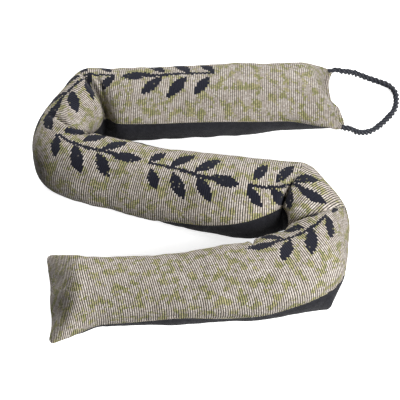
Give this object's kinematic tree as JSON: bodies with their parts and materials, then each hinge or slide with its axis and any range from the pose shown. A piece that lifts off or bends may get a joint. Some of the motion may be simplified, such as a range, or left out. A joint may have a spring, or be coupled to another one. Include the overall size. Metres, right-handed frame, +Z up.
{
  "type": "draught excluder",
  "caption": "Long filled cushion tube lying in an S, with a ribbed woven face, a plain dark backing, flat sewn ends and a yarn hanging loop.",
  "frame": {"origin": "on the floor, under the middle of the filled tube's plan box, the loop left out", "axes": "+Z up from the floor; +X towards the end with the loop; +Y from the run with the plain end towards the run with the loop"},
  "size_m": [0.3897, 0.3605, 0.0776],
  "materials": {
    "tapestry": "matte ribbed jacquard weave, cream, taupe, olive and near-black threads",
    "backing": "matte plain weave",
    "yarn": "soft twisted yarn"
  },
  "bodies": {
    "root": {"tapestry_panel": "tapestry", "backing_panel": "backing", "loop": "yarn"}
  },
  "joints": []
}
